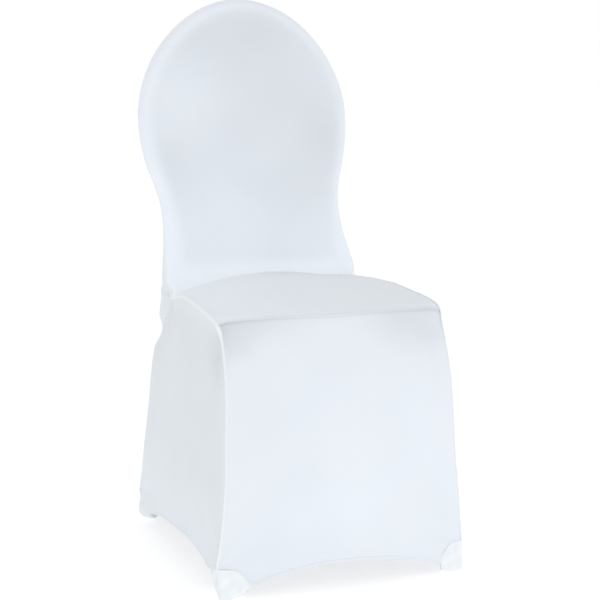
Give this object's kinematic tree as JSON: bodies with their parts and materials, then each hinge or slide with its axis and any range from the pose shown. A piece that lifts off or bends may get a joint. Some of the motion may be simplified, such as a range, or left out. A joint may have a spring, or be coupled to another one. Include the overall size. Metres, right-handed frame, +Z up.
{
  "type": "banquet chair cover",
  "caption": "Fitted stretch-cloth cover with a round hood, a seat, a flared skirt with arched hems and pockets for the feet.",
  "frame": {"origin": "on the floor, under the middle of the cover", "axes": "+Z up, the front of the seat faces -Y, +X to the right as seen from the front"},
  "size_m": [0.4318, 0.5494, 0.955],
  "materials": {
    "stretch_cloth": "smooth matt knit",
    "pocket_cloth": "matt stout cloth"
  },
  "bodies": {
    "root": {"front_skirt": "stretch_cloth", "seat_top": "stretch_cloth", "hood_front": "stretch_cloth", "back_panel": "stretch_cloth", "side_panel_left": "stretch_cloth", "side_panel_right": "stretch_cloth", "foot_pocket_front_left": "pocket_cloth", "foot_pocket_front_right": "pocket_cloth", "foot_pocket_rear_left": "pocket_cloth", "foot_pocket_rear_right": "pocket_cloth"}
  },
  "joints": []
}
